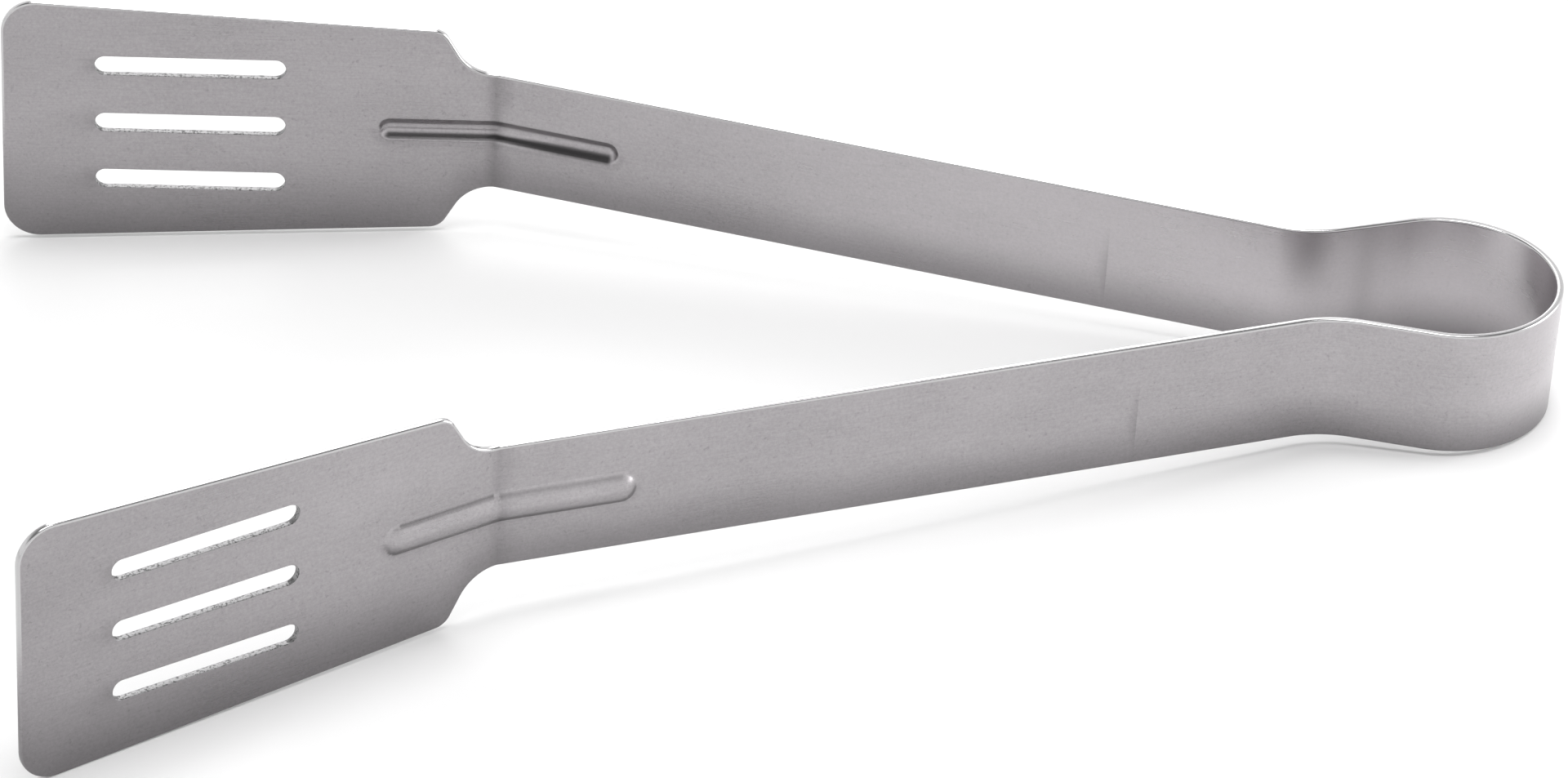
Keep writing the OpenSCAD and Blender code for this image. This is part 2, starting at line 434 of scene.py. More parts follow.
class Tree:
    """A Geometry Nodes tree with named inputs."""

    def __init__(self, name, inputs):
        self.group = bpy.data.node_groups.new(name, "GeometryNodeTree")
        face = self.group.interface
        face.new_socket("Geometry", in_out="INPUT", socket_type="NodeSocketGeometry")
        self.identifiers = {}
        for label, kind in inputs.items():
            made = face.new_socket(label, in_out="INPUT", socket_type="NodeSocket" + kind)
            self.identifiers[label] = made.identifier
        face.new_socket("Geometry", in_out="OUTPUT", socket_type="NodeSocketGeometry")
        self.inputs = self.group.nodes.new("NodeGroupInput")
        self.outputs = self.group.nodes.new("NodeGroupOutput")

    def value(self, label):
        return self.inputs.outputs[label]

    def node(self, kind, settings=None, inputs=None, output=0):
        made = self.group.nodes.new(kind)
        for key, value in (settings or {}).items():
            setattr(made, key, value)
        for key, value in (inputs or {}).items():
            if isinstance(value, bpy.types.NodeSocket):
                self.group.links.new(value, made.inputs[key])
            else:
                made.inputs[key].default_value = value
        return made.outputs[output]

    def math(self, operation, a, b):
        return self.node("ShaderNodeMath", {"operation": operation}, {0: a, 1: b})

    def close(self, geometry):
        """Ends the tree as plain geometry with its material."""
        real = self.node("GeometryNodeRealizeInstances", inputs={0: geometry})
        done = self.node(
            "GeometryNodeSetMaterial",
            inputs={"Geometry": real, "Material": self.value("Material")},
        )
        self.group.links.new(done, self.outputs.inputs[0])


def folded_strip_tree():
    """Sweeps the strip's section, with its round edges, along a path, and stores the run."""
    tree = Tree(
        "Folded strip",
        {
            "Width": "Float",
            "Thickness": "Float",
            "Edge radius": "Float",
            "Run at start": "Float",
            "Material": "Material",
        },
    )
    path = tree.node("GeometryNodeMeshToCurve", inputs={"Mesh": tree.value("Geometry")})
    path = tree.node("GeometryNodeSetCurveNormal", {"mode": "Z_UP"}, {"Curve": path})
    here = tree.node("GeometryNodeSplineParameter", output="Length")
    path = tree.node(
        "GeometryNodeStoreNamedAttribute",
        {"data_type": "FLOAT", "domain": "POINT"},
        {
            "Geometry": path,
            "Name": "run",
            "Value": tree.math("ADD", here, tree.value("Run at start")),
        },
    )
    section = tree.node(
        "GeometryNodeCurvePrimitiveQuadrilateral",
        {"mode": "RECTANGLE"},
        {"Width": tree.value("Thickness"), "Height": tree.value("Width")},
    )
    section = tree.node(
        "GeometryNodeFilletCurve",
        {"mode": "POLY"},
        {"Curve": section, "Count": EDGE_STEPS, "Radius": tree.value("Edge radius")},
    )
    swept = tree.node(
        "GeometryNodeCurveToMesh",
        inputs={"Curve": path, "Profile Curve": section, "Fill Caps": True},
    )
    tree.close(swept)
    return tree


def slot_row_tree():
    """Sets a row of round-ended slot outlines side by side."""
    tree = Tree(
        "Slot row",
        {
            "Count": "Int",
            "Length": "Float",
            "Width": "Float",
            "Pitch": "Float",
            "Material": "Material",
        },
    )
    outline = tree.node(
        "GeometryNodeCurvePrimitiveQuadrilateral",
        {"mode": "RECTANGLE"},
        {"Width": tree.value("Length"), "Height": tree.value("Width")},
    )
    outline = tree.node(
        "GeometryNodeFilletCurve",
        {"mode": "POLY"},
        {
            "Curve": outline,
            "Count": SLOT_END_STEPS,
            "Radius": tree.math("MULTIPLY", tree.value("Width"), ALMOST_HALF),
        },
    )
    outline = tree.node("GeometryNodeCurveToMesh", inputs={"Curve": outline})
    offset = tree.node("ShaderNodeCombineXYZ", inputs={1: tree.value("Pitch")})
    row = tree.node(
        "GeometryNodeMeshLine",
        {"mode": "OFFSET"},
        {"Count": tree.value("Count"), "Offset": offset},
    )
    placed = tree.node(
        "GeometryNodeInstanceOnPoints", inputs={"Points": row, "Instance": outline}
    )
    tree.close(placed)
    return tree


def grown(tree, name, mesh, values):
    """The plain mesh that a tree makes from a mesh."""
    obj = bpy.data.objects.new(name, mesh)
    bpy.context.scene.collection.objects.link(obj)
    modifier = obj.modifiers.new(tree.group.name, "NODES")
    modifier.node_group = tree.group
    for label, value in values.items():
        modifier[tree.identifiers[label]] = value
    bpy.context.view_layer.update()
    evaluated = obj.evaluated_get(bpy.context.evaluated_depsgraph_get())
    made = bpy.data.meshes.new_from_object(evaluated)
    obj.modifiers.clear()
    bpy.data.objects.remove(obj)
    return made


# ---- Finishing a mesh ---------------------------------------------------------------------------


def store(mesh, name, kind, values):
    attribute = mesh.attributes.get(name) or mesh.attributes.new(name, kind, "POINT")
    key = "vector" if kind == "FLOAT_VECTOR" else "value"
    attribute.data.foreach_set(key, np.asarray(values, np.float32).ravel())


def placed_piece(name, mesh, mirror):
    """Sets a mesh from the plan in its place, faces outwards, as a finished piece."""
    if mirror < 0:
        mesh.transform(Matrix.Diagonal((1, -1, 1, 1)))
    mesh.transform(rest_matrix())
    bm = bmesh.new()
    bm.from_mesh(mesh)
    bmesh.ops.recalc_face_normals(bm, faces=bm.faces)
    bm.to_mesh(mesh)
    bm.free()
    mesh.shade_smooth()
    mesh.set_sharp_from_angle(angle=SHARP_ANGLE)
    mesh.name = name
    old = bpy.data.objects.get(name)
    if old:
        bpy.data.objects.remove(old)
    obj = bpy.data.objects.new(name, mesh)
    if not mesh.materials:
        mesh.materials.append(satin_steel())
    bpy.context.scene.collection.objects.link(obj)
    return obj


def strip_piece(name, runs, stations, mirror=1.0):
    """A length of the strip through stations on the plan."""
    s = sizes()
    path = bpy.data.meshes.new(name + "_path")
    points = [(p[0], p[1], 0.0) for p in stations]
    path.from_pydata(points, [(i, i + 1) for i in range(len(points) - 1)], [])
    mesh = grown(
        folded_strip_tree(),
        name + "_grown",
        path,
        {
            "Width": s.strip_width,
            "Thickness": s.thickness,
            "Edge radius": s.edge_radius,
            "Run at start": runs[0],
            "Material": satin_steel(),
        },
    )
    bm = bmesh.new()
    bm.from_mesh(mesh)
    # a holding loop beside each rim keeps the wide faces flat to the eye, and the rows between
    # carry the finish and its painted shade
    hold = s.strip_width / 2 - s.edge_radius - HOLD
    rows = np.linspace(-STRIP_ROWS_REACH, STRIP_ROWS_REACH, STRIP_ROWS) * s.strip_width
    for z in (-hold, hold, *rows):
        bmesh.ops.bisect_plane(
            bm, geom=bm.verts[:] + bm.edges[:] + bm.faces[:], plane_co=(0, 0, z), plane_no=(0, 0, 1)
        )
    bm.to_mesh(mesh)
    bm.free()
    z = np.array([v.co.z for v in mesh.vertices])
    run = np.zeros(len(z), np.float32)
    mesh.attributes["run"].data.foreach_get("value", run)
    mesh.attributes.remove(mesh.attributes["run"])
    low = np.clip(-z / (s.strip_width / 2), 0, 1)
    way = np.gradient(np.array(stations), axis=0)
    way /= np.linalg.norm(way, axis=1)[:, None]
    here = np.array([v.co[:2] for v in mesh.vertices])
    for i in (0, 1):
        here[:, i] -= np.interp(run, runs, np.array(stations)[:, i])
    inner = (
        here[:, 1] * np.interp(run, runs, way[:, 0]) - here[:, 0] * np.interp(run, runs, way[:, 1])
    ) > 0
    store(mesh, "strip", "FLOAT_VECTOR", np.column_stack([run, z, low]))
    store(mesh, "rim", "FLOAT", np.abs(z) > hold + 0.05 * MM)
    store(mesh, "slot_wall", "FLOAT", np.zeros(len(z)))
    # painted shade on the inner faces: the neck's dark tongue and the band across the leg
    store(mesh, "fold", "FLOAT", neck_shade(run, z) * inner)
    # painted light on the inner faces and round the bow's back
    store(mesh, "painted_light", "FLOAT", painted_light_amount(run, inner))
    return placed_piece(name, mesh, mirror)


# how dark each painted shade and how light each painted light is, and how wide, with how much
# darker the tip and the slot ends are
TONGUE_DARK, TONGUE_WIDE = 0.8, 2.6 * MM
BAND_DARK, BAND_WIDE, BAND_ON_LEG = 0.8, 2.4 * MM, 0.6
INSIDE_LIGHT, INSIDE_FADE = 0.36, 0.75
BOW_LIGHT, BOW_LIGHT_AT, BOW_LIGHT_WIDE = 0.14, 1.4, 0.5
OUTSIDE_LIGHT, OUTSIDE_REACH = 0.3, 1.15
CREASE_DARK_INSIDE, CREASE_DARK_OUTSIDE, CREASE_WIDE = 0.75, 0.45, 1.3 * MM
FOOT_DARK, FOOT_WIDE = 0.35, 0.7 * MM
GROOVE_DARK, GROOVE_ENDS, GROOVE_RISE = 2.1, 0.7 * MM, 0.6 * MM
RIDGE_DARK, RIDGE_LINE_DARK, RIDGE_LINE_IN, RIDGE_LINE_WIDE = 1.1, 1.5, 0.25 * MM, 0.3 * MM
TIP_DARK = 0.28
SLOT_END_DARK, SLOT_END_WIDE, SLOT_END_LONG = 0.5, 1.6 * MM, 3.5 * MM


def neck_shade(run, z):
    """Painted shade: the dark tongue that runs down from the upper edge at the neck bend, and the
    dark band across the leg where the bow begins."""
    r = Run("rear")
    run = np.abs(run)
    reach = np.clip((z / (r.s.strip_width / 2) + 0.1) / 0.7, 0, 1)
    tongue = np.exp(-(((run - (r.leg_end + r.neck_end) / 2) / TONGUE_WIDE) ** 2))
    band = np.exp(-(((run - r.bow_end - BAND_ON_LEG * r.s.leg_length) / BAND_WIDE) ** 2))
    return tongue * reach**2 * (3 - 2 * reach) * TONGUE_DARK + band * BAND_DARK


def painted_light_amount(run, inner):
    """How much painted light lightens the steel: the whole inside of the bow, fading out along the
    arms, and the outside round its back."""
    s = sizes()
    run = np.abs(run)
    neck = Run("rear").neck_end
    lighter = INSIDE_LIGHT * np.clip(1 - (run - neck) / (INSIDE_FADE * s.arm_length), 0, 1)
    past = run - BOW_LIGHT_AT * s.bow_radius
    lighter += BOW_LIGHT * np.exp(-((past / (BOW_LIGHT_WIDE * s.bow_radius)) ** 2))
    reach = OUTSIDE_REACH - run / (s.bow_radius * math.pi / 2)
    return np.where(inner, lighter, OUTSIDE_LIGHT * np.clip(reach, 0, 1))


def stretch(side, start, end):
    """Runs and points from one run to another on one side."""
    r = Run(side)
    runs = np.linspace(start, end, max(2, int(abs(end - start) / STRIP_STEP) + 1))
    return runs, [r.at(v)[0] for v in runs]


# ---- The arm and blade --------------------------------------------------------------------------


def rounded(a, p, b, radius):
    """The corner at p between a and b, as an arc."""
    a, p, b = (np.array(v, float) for v in (a, p, b))
    u = (a - p) / np.linalg.norm(a - p)
    v = (b - p) / np.linalg.norm(b - p)
    half = math.acos(max(-1.0, min(1.0, u @ v))) / 2
    centre = p + (u + v) / np.linalg.norm(u + v) * radius / math.sin(half)
    first = p + u * radius / math.tan(half) - centre
    last = p + v * radius / math.tan(half) - centre
    start = math.atan2(first[1], first[0])
    sweep = (math.atan2(last[1], last[0]) - start + math.pi) % (2 * math.pi) - math.pi
    turns = (start + sweep * i / CORNER_STEPS for i in range(CORNER_STEPS + 1))
    return [centre + radius * along(turn) for turn in turns]


def spaced(a, b, step):
    """Points from a to b, without b."""
    a, b = np.array(a, float), np.array(b, float)
    count = max(1, int(np.linalg.norm(b - a) / step))
    return [a + (b - a) * i / count for i in range(count)]


class Plate:
    """The flat arm and blade of one side: its outline, its slots and how it is pressed and folded.
    A flat point is (distance past the crease, distance up from the middle of the strip)."""

    STEP = 3.0 * MM
    FINE = 0.3 * MM
    SLOPE_STEP = 1.0 * MM
    CREASE_STEP = 0.75 * MM
    ARC_ROWS = 5
    RIB_MARGIN = 0.6 * MM
    FOLD_MARGIN = 1.0 * MM
    RIB_ROUNDNESS = 1.05
    # how far the points inside keep from the loops beside the outline and the slots
    CLEAR, SLOT_CLEAR = 0.14 * MM, 0.3 * MM

    def __init__(self, side):
        self.s = s = sizes()
        self.run = Run(side)
        self.start = -(s.arm_length - s.arm_flex)
        self.crank = self.run.crank
        self.tangent = s.crease_radius * math.tan(abs(self.crank) / 2)

    def edge(self):
        """The outline's half where the height is positive, from the cut end to the tip."""
        s = self.s
        high = s.strip_width / 2
        shoulder_end = s.shoulder_start + (s.root_width / 2 - high) / math.tan(s.shoulder_slope)
        corners = [
            (self.start, high),
            (s.shoulder_start, high),
            (shoulder_end, s.root_width / 2),
            (s.blade_length, s.tip_width / 2),
            (s.blade_length, 0.0),
        ]
        hollow = rounded(*corners[0:3], s.hollow_radius)
        top = rounded(*corners[1:4], s.round_radius)
        tip = rounded(*corners[2:5], s.tip_radius)
        fold = np.linspace(-self.tangent, min(self.tangent, hollow[0][0] - 0.02 * MM), FOLD_ROWS)
        return (
            spaced(corners[0], (fold[0], high), self.STEP)
            + [np.array([x, high]) for x in fold]
            + hollow
            + spaced(hollow[-1], top[0], self.SLOPE_STEP)[1:]
            + top
            + spaced(top[-1], tip[0], self.STEP)[1:]
            + tip
            + spaced(tip[-1], corners[4], self.STEP)[1:]
        )

    def low(self, flat):
        """How far a point is down towards the lower edge, from 0 at the middle to 1."""
        upper = np.array(self.edge())
        order = np.argsort(upper[:, 0], kind="stable")
        half = np.interp(flat[:, 0], upper[order, 0], upper[order, 1])
        return np.clip(-flat[:, 1] / np.maximum(half, self.s.strip_width / 2), 0, 1)

    def outline(self):
        upper = self.edge()
        lower = [np.array([p[0], -p[1]]) for p in reversed(upper)]
        middle = [np.array([self.s.blade_length, 0.0])]
        return np.array(upper + middle + lower)

    def slots(self):
        """Each slot's outline, in order round it, from the slot row tree."""
        s = self.s
        mesh = grown(
            slot_row_tree(),
            "slot_row",
            bpy.data.meshes.new("slot_row_seed"),
            {
                "Count": s.slot_count,
                "Length": s.slot_length,
                "Width": s.slot_width,
                "Pitch": s.slot_pitch,
                "Material": satin_steel(),
            },
        )
        shift = np.array(
            [
                s.blade_length - s.slot_margin - s.slot_length / 2,
                -(s.slot_count - 1) / 2 * s.slot_pitch,
            ]
        )
        neighbours = {}
        for e in mesh.edges:
            a, b = e.vertices
            neighbours.setdefault(a, []).append(b)
            neighbours.setdefault(b, []).append(a)
        loops, seen = [], set()
        for first in neighbours:
            if first in seen:
                continue
            ring, before, here = [], None, first
            while here not in seen:
                seen.add(here)
                ring.append(np.array(mesh.vertices[here].co[:2]) + shift)
                ahead = [n for n in neighbours[here] if n != before]
                before, here = here, ahead[0]
            loops.append(np.array(self.refined(ring)))
        return loops

    def refined(self, ring):
        """A closed ring with its long sides divided."""
        return [
            q for a, b in zip(ring, ring[1:] + ring[:1]) for q in spaced(a, b, self.STEP)
        ]

    def folded(self, flat, inward):
        """Plan positions of flat points at a distance from the middle of the sheet."""
        point, heading = self.run.at(self.run.crease)
        t = self.tangent
        x = flat[:, 0]
        share = np.clip((x + t) / (2 * t), 0, 1)
        angles = heading + self.crank * share
        # along the arm, round the fold, then along the blade
        arm = np.minimum(x, -t)[:, None] * along(heading)
        radius = self.s.crease_radius * np.sign(self.crank)
        turn = radius * (
            np.column_stack([np.sin(angles), -np.cos(angles)])
            - np.array([math.sin(heading), -math.cos(heading)])
        )
        blade = np.maximum(x - t, 0)[:, None] * along(heading + self.crank)
        across = np.column_stack([-np.sin(angles), np.cos(angles)])
        plan = point + arm + turn + blade + inward[:, None] * across
        return np.column_stack([plan, flat[:, 1]])

    def pressed(self, flat, inner):
        """How far the rib pushes a face outwards."""
        s = self.s
        half = s.groove_half if inner else s.ridge_half
        ends = (-(s.rib_on_arm - s.ridge_half), s.rib_on_blade - s.ridge_half)
        away = np.hypot(flat[:, 0] - np.clip(flat[:, 0], *ends), flat[:, 1])
        return s.rib_height * np.clip(1 - (away / half) ** 2, 0, 1) ** self.RIB_ROUNDNESS

    def fill_points(self):
        """Points inside the plate: sparse on the flats, close round the rib and on the fold."""
        s, t = self.s, self.tangent
        reach = s.ridge_half + self.RIB_MARGIN
        fine = self.FINE
        fold = list(np.linspace(-t, t, FOLD_ROWS))
        rib_x = [
            x
            for x in np.arange(-s.rib_on_arm - fine * 3, s.rib_on_blade + fine * 3, fine)
            if abs(x) > t + fine / 2
        ] + fold
        rib = [(x, y) for x in rib_x for y in np.arange(-reach, reach + fine / 2, fine)]
        creased = [
            (x, y)
            for x in fold
            for y in np.arange(-s.strip_width / 2, s.strip_width / 2, self.CREASE_STEP)
            if abs(y) > reach + fine
        ]
        flats = [
            (x, y)
            for x in np.arange(self.start, s.blade_length, self.STEP)
            for y in np.arange(-s.tip_width / 2, s.tip_width / 2, self.STEP)
            if abs(x) > t + self.FOLD_MARGIN
            and not (abs(y) < reach + fine and -s.rib_on_arm - MM < x < s.rib_on_blade + MM)
        ]
        return np.array(rib + creased + flats)


def ring_normals(points, closed):
    """Unit normals to a line of points, on its left."""
    if closed:
        before, after = np.roll(points, 1, 0), np.roll(points, -1, 0)
    else:
        before = np.vstack([points[:1], points[:-1]])
        after = np.vstack([points[1:], points[-1:]])
    way = after - before
    way /= np.linalg.norm(way, axis=1)[:, None]
    return np.column_stack([-way[:, 1], way[:, 0]])


def inside(points, ring):
    """Which points lie inside a closed ring."""
    x, y = points[:, 0][:, None], points[:, 1][:, None]
    a, b = ring, np.roll(ring, -1, 0)
    crosses = (a[:, 1] > y) != (b[:, 1] > y)
    rise = np.where(b[:, 1] == a[:, 1], 1e-12, b[:, 1] - a[:, 1])
    at = (b[:, 0] - a[:, 0]) * (y - a[:, 1]) / rise + a[:, 0]
    return (crosses & (x < at)).sum(1) % 2 == 1


def near(points, ring, distance):
    """Which points lie within a distance of a closed ring."""
    close = np.zeros(len(points), bool)
    for a, b in zip(ring, np.roll(ring, -1, 0)):
        way = b - a
        share = np.clip(((points - a) @ way) / max(way @ way, 1e-18), 0, 1)
        close |= np.linalg.norm(points - (a + share[:, None] * way), axis=1) < distance
    return close


def triangulated(rings, hold_rings, fill):
    """Triangles of the metal between the first ring and the others, worked out in millimetres."""
    verts, edges, starts = [], [], []
    for ring in rings + hold_rings:
        starts.append(len(verts))
        n = len(ring)
        edges += [(starts[-1] + i, starts[-1] + (i + 1) % n) for i in range(n)]
        verts += [Vector(p / MM) for p in ring]
    verts += [Vector(p / MM) for p in fill]
    out, _, faces, origin, _, _ = delaunay_2d_cdt(verts, edges, [], 0, 1e-5)
    flat = np.array([v[:] for v in out], float) * MM
    triangles = np.array(faces)
    middle = flat[triangles].mean(1)
    keep = inside(middle, rings[0])
    for hole in rings[1:]:
        keep &= ~inside(middle, hole)
    number = {o: i for i, group in enumerate(origin) for o in group}
    ring_numbers = [
        [number[starts[k] + i] for i in range(len(ring))] for k, ring in enumerate(rings)
    ]
    return flat, triangles[keep], ring_numbers


def plate_mesh(plate, name):
    """The pressed and folded plate, with rounded edges, as one closed mesh on the plan."""
    s = plate.s
    half = s.thickness / 2
    outline = plate.outline()
    slots = plate.slots()
    # the outline runs clockwise, so the metal is on its right, and slots are turned to match it
    lines = [(outline, -ring_normals(outline, False), s.edge_radius, 0.0)]
    for ring in slots:
        area = np.sum(ring[:, 0] * np.roll(ring[:, 1], -1) - ring[:, 1] * np.roll(ring[:, 0], -1))
        ring = ring if area > 0 else ring[::-1]
        lines.append((ring, -ring_normals(ring, True), s.slot_edge, 1.0))

    inset = [points + radius * normals for points, normals, radius, _ in lines]
    held = [points + (radius + HOLD) * normals for points, normals, radius, _ in lines]
    # the cut end's own points, from the last of the outline back up to the first
    reach = s.strip_width / 2 - s.edge_radius - HOLD
    cut = np.array([(plate.start, y) for y in np.linspace(-reach, reach, CUT_POINTS)])
    inset[0] = np.vstack([inset[0], cut])
    held[0][0, 0] = held[0][-1, 0] = plate.start + HOLD
    fill = plate.fill_points()
    clear = inside(fill, held[0]) & ~near(fill, held[0], plate.CLEAR)
    for ring in held[1:]:
        clear &= ~inside(fill, ring) & ~near(fill, ring, plate.SLOT_CLEAR)
    flat, triangles, ring_numbers = triangulated(inset, held, fill[clear])

    positions, attributes, faces = [], [], []

    def add(flat_points, inward, rim, wall, inner):
        first = sum(len(p) for p in positions)
        positions.append(plate.folded(flat_points, inward))
        run = plate.run.crease + flat_points[:, 0]
        # the fold and painted light values hold painted shade and painted light
        attributes.append(
            np.column_stack(
                [run, flat_points[:, 1], plate.low(flat_points), np.full(len(run), rim),
                 np.full(len(run), wall), fold_shade(plate, flat_points, inner),
                 painted_light_amount(run, inner)]
            )
        )
        return first

    sheet = {}
    for inner in (True, False):
        side = 1.0 if inner else -1.0
        level = np.full(len(flat), side * half) - plate.pressed(flat, inner)
        sheet[inner] = add(flat, level, 0.0, 0.0, inner)
        faces += [tuple(sheet[inner] + int(i) for i in t) for t in triangles]
        # the bright outer rim starts on its face, and the slots' walls start at their edges
        attributes[-1][ring_numbers[0][: len(outline)], RIM_COLUMN] = 1.0

    for k, ((points, normals, radius, wall), numbers) in enumerate(zip(lines, ring_numbers)):
        numbers, end = numbers[: len(points)], numbers[len(points) :]
        rows = [[sheet[True] + n for n in numbers]]
        for side in (1.0, -1.0):
            steps = range(1, plate.ARC_ROWS + 1) if side > 0 else range(plate.ARC_ROWS, 0, -1)
            for i in steps:
                a = math.pi / 2 * i / plate.ARC_ROWS
                inward = side * (half - radius + radius * math.cos(a))
                first = add(
                    points + radius * (1 - math.sin(a)) * normals,
                    np.full(len(points), inward), 1.0, wall, side > 0,
                )
                rows.append(list(range(first, first + len(points))))
        rows.append([sheet[False] + n for n in numbers])
        closed = k > 0
        for low, high in zip(rows, rows[1:]):
            for i in range(len(low) if closed else len(low) - 1):
                j = (i + 1) % len(low)
                faces.append((low[i], low[j], high[j], high[i]))
        if not closed:
            # the flat cap of the cut end
            faces.append(
                [row[0] for row in rows]
                + [sheet[False] + n for n in reversed(end)]
                + [row[-1] for row in reversed(rows)]
                + [sheet[True] + n for n in end]
            )

    mesh = bpy.data.meshes.new(name)
    mesh.from_pydata(np.vstack(positions).tolist(), [], faces)
    values = np.vstack(attributes)
    store(mesh, "strip", "FLOAT_VECTOR", values[:, 0:3])
    for column, attribute in enumerate(("rim", "slot_wall", "fold", "painted_light"), RIM_COLUMN):
        store(mesh, attribute, "FLOAT", values[:, column])
    bm = bmesh.new()
    bm.from_mesh(mesh)
    loose = [v for v in bm.verts if not v.link_faces]
    bmesh.ops.delete(bm, geom=loose, context="VERTS")
    bm.to_mesh(mesh)
    bm.free()
    return mesh


def fold_shade(plate, flat, inner):
    """Painted shade at the crease, at the foot of the rib, along the groove's lower wall and on the
    ridge's lower slope and upper foot, and softly darker towards the tip and past the tip end of
    each slot."""
    s = plate.s
    x, y = flat[:, 0], flat[:, 1]
    # painted shade round the crease, and at the foot of the rib on its lower side
    crease = np.exp(-((x / CREASE_WIDE) ** 2))
    crease = crease * (CREASE_DARK_INSIDE if inner else CREASE_DARK_OUTSIDE)
    ends = (-(s.rib_on_arm - s.ridge_half), s.rib_on_blade - s.ridge_half)
    reach = np.clip(x, *ends)
    away = np.hypot(x - reach, y)
    foot = np.exp(-(((away - s.ridge_half) / FOOT_WIDE) ** 2))
    shade = crease + foot * FOOT_DARK * (y < 0)
    # painted shade along the groove's lower wall on the inner face; on the outer face painted shade
    # on the ridge's lower slope, with a dark painted line at its upper foot
    if inner:
        # the band is narrow on the blade and widens along the arm
        wide = (0.26 + 0.5 * np.clip(-2 * x / s.rib_on_arm, 0, 1)) * MM
        band = np.exp(-(((y + s.groove_half - GROOVE_RISE) / wide) ** 4))
        shade += band * GROOVE_DARK * np.exp(-(((x - reach) / GROOVE_ENDS) ** 2))
    else:
        lower = np.clip(0.1 - y / s.ridge_half, 0, 1) * (away < s.ridge_half)
        line = np.exp(-(((y - s.ridge_half + RIDGE_LINE_IN) / RIDGE_LINE_WIDE) ** 2))
        shade += lower * RIDGE_DARK + line * RIDGE_LINE_DARK * (x > MM) * (x < ends[1])
    # darker towards the tip
    shade += TIP_DARK * np.clip(1.6 * x / s.blade_length - 0.6, 0, 1)
    # darker past the tip end of each slot
    past = x - (s.blade_length - s.slot_margin)
    for i in range(s.slot_count):
        off = y - (i - (s.slot_count - 1) / 2) * s.slot_pitch
        fade = np.exp(-((off / SLOT_END_WIDE) ** 2)) * np.exp(-np.abs(past) / SLOT_END_LONG)
        shade += fade * (past > -s.slot_width) * SLOT_END_DARK
    return shade


# ---- Operators ----------------------------------------------------------------------------------


class TONGS_OT_bow(bpy.types.Operator):
    """Folds the still back of the bow"""

    bl_idname = "tongs.bow"
    bl_label = "Bow back"

    def execute(self, context):
        r = Run("rear")
        reach = r.bow(sizes().still_half)
        runs = np.linspace(-reach, reach, BOW_POINTS)
        points = [r.at(abs(v))[0] * (1, math.copysign(1, v)) for v in runs]
        piece = strip_piece("bow_back", runs, points)
        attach(piece, "bow_crown")
        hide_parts("bow_crown")
        return {"FINISHED"}


class TONGS_OT_bow_sides(bpy.types.Operator):
    """Folds the sides of the bow, where the real tongs flex as they close"""

    bl_idname = "tongs.bow_sides"
    bl_label = "Bow sides"

    def execute(self, context):
        s = sizes()
        for side in SIDES:
            r = Run(side)
            start, end = r.bow(s.still_half), r.bow(s.flex_end)
            piece = strip_piece(f"{side}_bow_side", *stretch(side, start, end), r.mirror)
            r.in_row(start)
            r.in_row(end)
            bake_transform(piece)
        return {"FINISHED"}


class TONGS_OT_legs(bpy.types.Operator):
    """Folds the legs, from the end of the bow towards the necks"""

    bl_idname = "tongs.legs"
    bl_label = "Legs"

    def execute(self, context):
        s = sizes()
        for side in SIDES:
            r = Run(side)
            end = r.bow_end + s.leg_share * s.leg_length
            piece = strip_piece(f"{side}_leg", *stretch(side, r.bow(s.flex_end), end), r.mirror)
            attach(piece, f"{side}_neck")
            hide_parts(f"{side}_bow_leg")
        return {"FINISHED"}


class TONGS_OT_necks(bpy.types.Operator):
    """Folds the necks and the first of the arms, where the real tongs flex as they close"""

    bl_idname = "tongs.necks"
    bl_label = "Necks"

    def execute(self, context):
        s = sizes()
        for side in SIDES:
            r = Run(side)
            start = r.bow_end + s.leg_share * s.leg_length
            end = r.neck_end + s.arm_flex
            piece = strip_piece(f"{side}_neck_bend", *stretch(side, start, end), r.mirror)
            # the points at the leg's end and 2 mm before the piece's end, worked out but not used
            r.in_row(r.leg_end)
            r.in_row(end - 2 * MM)
            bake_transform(piece)
            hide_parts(f"{side}_neck")
        return {"FINISHED"}


class TONGS_OT_blades(bpy.types.Operator):
    """Cuts, presses and folds the arms and their slotted blades"""

    bl_idname = "tongs.blades"
    bl_label = "Arms and blades"

    def execute(self, context):
        for side in SIDES:
            plate = Plate(side)
            name = f"{side}_arm_and_blade"
            piece = placed_piece(name, plate_mesh(plate, name), plate.run.mirror)
            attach(piece, f"{side}_arm")
            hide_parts(f"{side}_arm", f"{side}_blade")
        return {"FINISHED"}


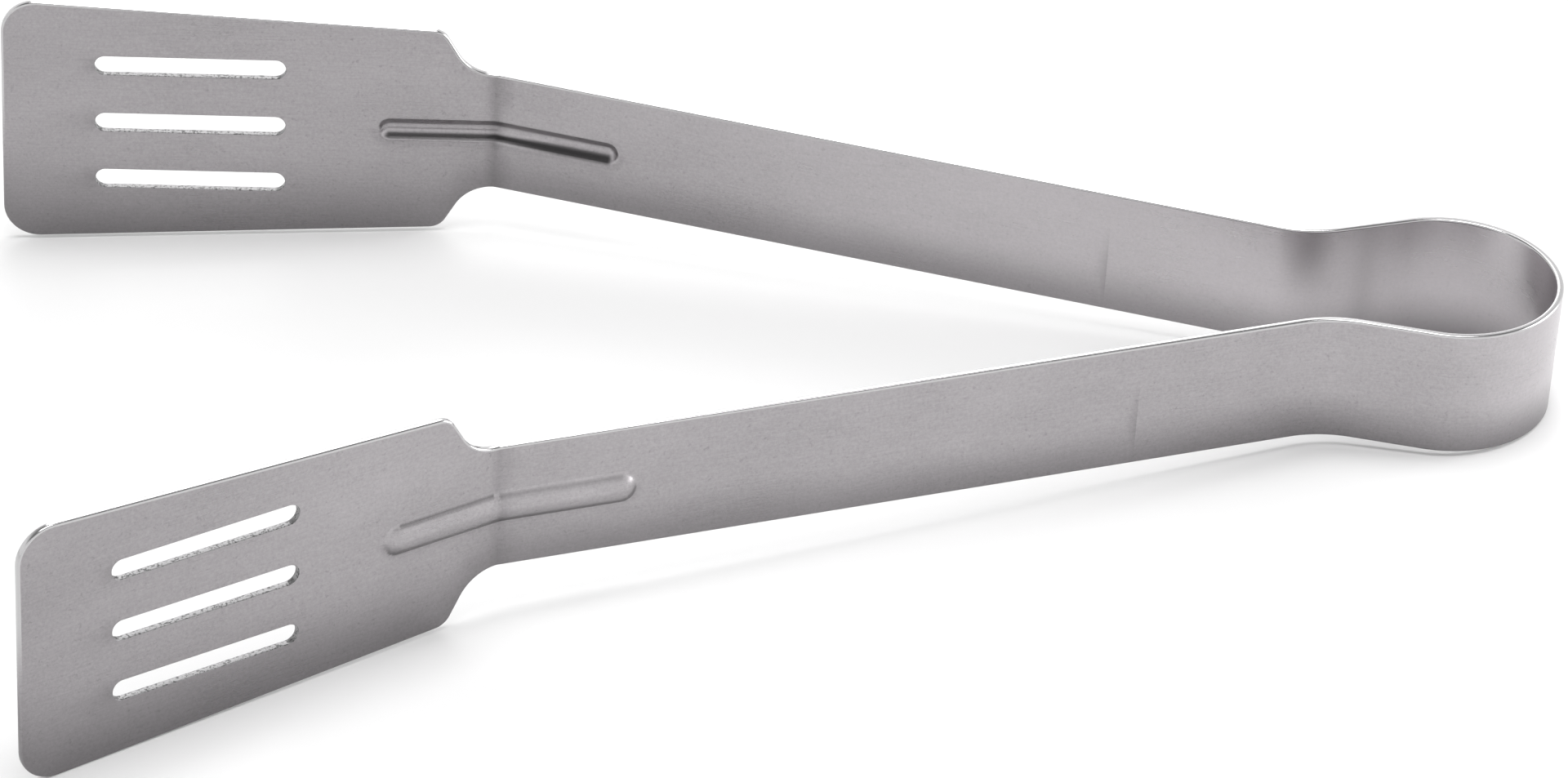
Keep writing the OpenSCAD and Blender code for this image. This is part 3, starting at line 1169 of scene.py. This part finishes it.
class TONGS_OT_stage(bpy.types.Operator):
    """Sets up the floor, the soft lights and the camera"""

    bl_idname = "tongs.stage"
    bl_label = "Stage"

    FLOOR_HALF = 3.0
    VIEW = (math.radians(-2.79), math.radians(33.33))
    ROLL = math.radians(0.184)
    AIM = Vector((0.00072, -0.00154, 0.01759))
    DISTANCE = 1.00698
    LENS = 142.733
    # place, size and power of each soft box
    BOXES = (
        ((0.05, 0.05, 1.5), 0.9, 15.0),
        ((0.0, 1.7, 1.15), 0.9, 7.0),
        ((1.25, 0.2, 0.4), 0.8, 12.0),
    )
    # the sky is bright low down and darker overhead, where the first soft box is
    SKY_LOW, SKY_HIGH = 1.15, 0.25
    SKY_TURNS = (0.42, 0.82)

    def execute(self, context):
        scene = context.scene
        floor = bpy.data.meshes.new("floor")
        h = self.FLOOR_HALF
        floor.from_pydata([(-h, -h, 0), (h, -h, 0), (h, h, 0), (-h, h, 0)], [], [(0, 1, 2, 3)])
        floor.materials.append(floor_paint())
        obj = bpy.data.objects.new("floor", floor)
        scene.collection.objects.link(obj)

        scene.world = bpy.data.worlds.new("studio")
        sky = Shader(scene.world)
        height = sky.split(sky.point("Generated"))[2]
        sky.finish(
            "Background",
            Color=(1, 1, 1, 1),
            Strength=self.SKY_LOW - height.step(*self.SKY_TURNS) * (self.SKY_LOW - self.SKY_HIGH),
        )

        for i, (place, size, power) in enumerate(self.BOXES):
            light = bpy.data.lights.new(f"soft_box_{i}", "AREA")
            light.shape, light.size, light.energy = "SQUARE", size, power
            box = bpy.data.objects.new(light.name, light)
            box.location = place
            box.rotation_euler = (-Vector(place)).to_track_quat("-Z", "Y").to_euler()
            scene.collection.objects.link(box)

        camera = bpy.data.cameras.new("camera")
        camera.lens, camera.sensor_width, camera.clip_start = self.LENS, 36.0, 0.01
        obj = bpy.data.objects.new("camera", camera)
        a, e = self.VIEW
        back = Vector(
            (math.sin(a) * math.cos(e), -math.cos(a) * math.cos(e), math.sin(e))
        )
        obj.location = self.AIM + back * self.DISTANCE
        turned = (-back).to_track_quat("-Z", "Y").to_matrix()
        obj.rotation_euler = (turned @ Euler((0, 0, self.ROLL)).to_matrix()).to_euler()
        scene.collection.objects.link(obj)
        scene.camera = obj
        scene.view_settings.view_transform = "Standard"
        return {"FINISHED"}


class TONGS_PT_panel(bpy.types.Panel):
    """Lists the steps that make the tongs"""

    bl_idname = "TONGS_PT_panel"
    bl_label = "Tongs"
    bl_space_type = "VIEW_3D"
    bl_region_type = "UI"
    bl_category = "Tongs"

    def draw(self, context):
        for operator in OPERATORS:
            self.layout.operator(operator.bl_idname)
        for group in (context.scene.tongs_sizes, context.scene.tongs_finish):
            for name in group.__annotations__:
                self.layout.prop(group, name)


OPERATORS = (
    TONGS_OT_bow,
    TONGS_OT_bow_sides,
    TONGS_OT_legs,
    TONGS_OT_necks,
    TONGS_OT_blades,
    TONGS_OT_stage,
)
CLASSES = (TongsSizes, TongsFinish, *OPERATORS, TONGS_PT_panel)


def register():
    for c in CLASSES:
        bpy.utils.register_class(c)
    bpy.types.Scene.tongs_sizes = PointerProperty(type=TongsSizes)
    bpy.types.Scene.tongs_finish = PointerProperty(type=TongsFinish)


def unregister():
    del bpy.types.Scene.tongs_finish
    del bpy.types.Scene.tongs_sizes
    for c in reversed(CLASSES):
        bpy.utils.unregister_class(c)


def main():
    register()
    for operator in OPERATORS:
        group, name = operator.bl_idname.split(".")
        getattr(getattr(bpy.ops, group), name)()


if __name__ == "__main__":
    main()
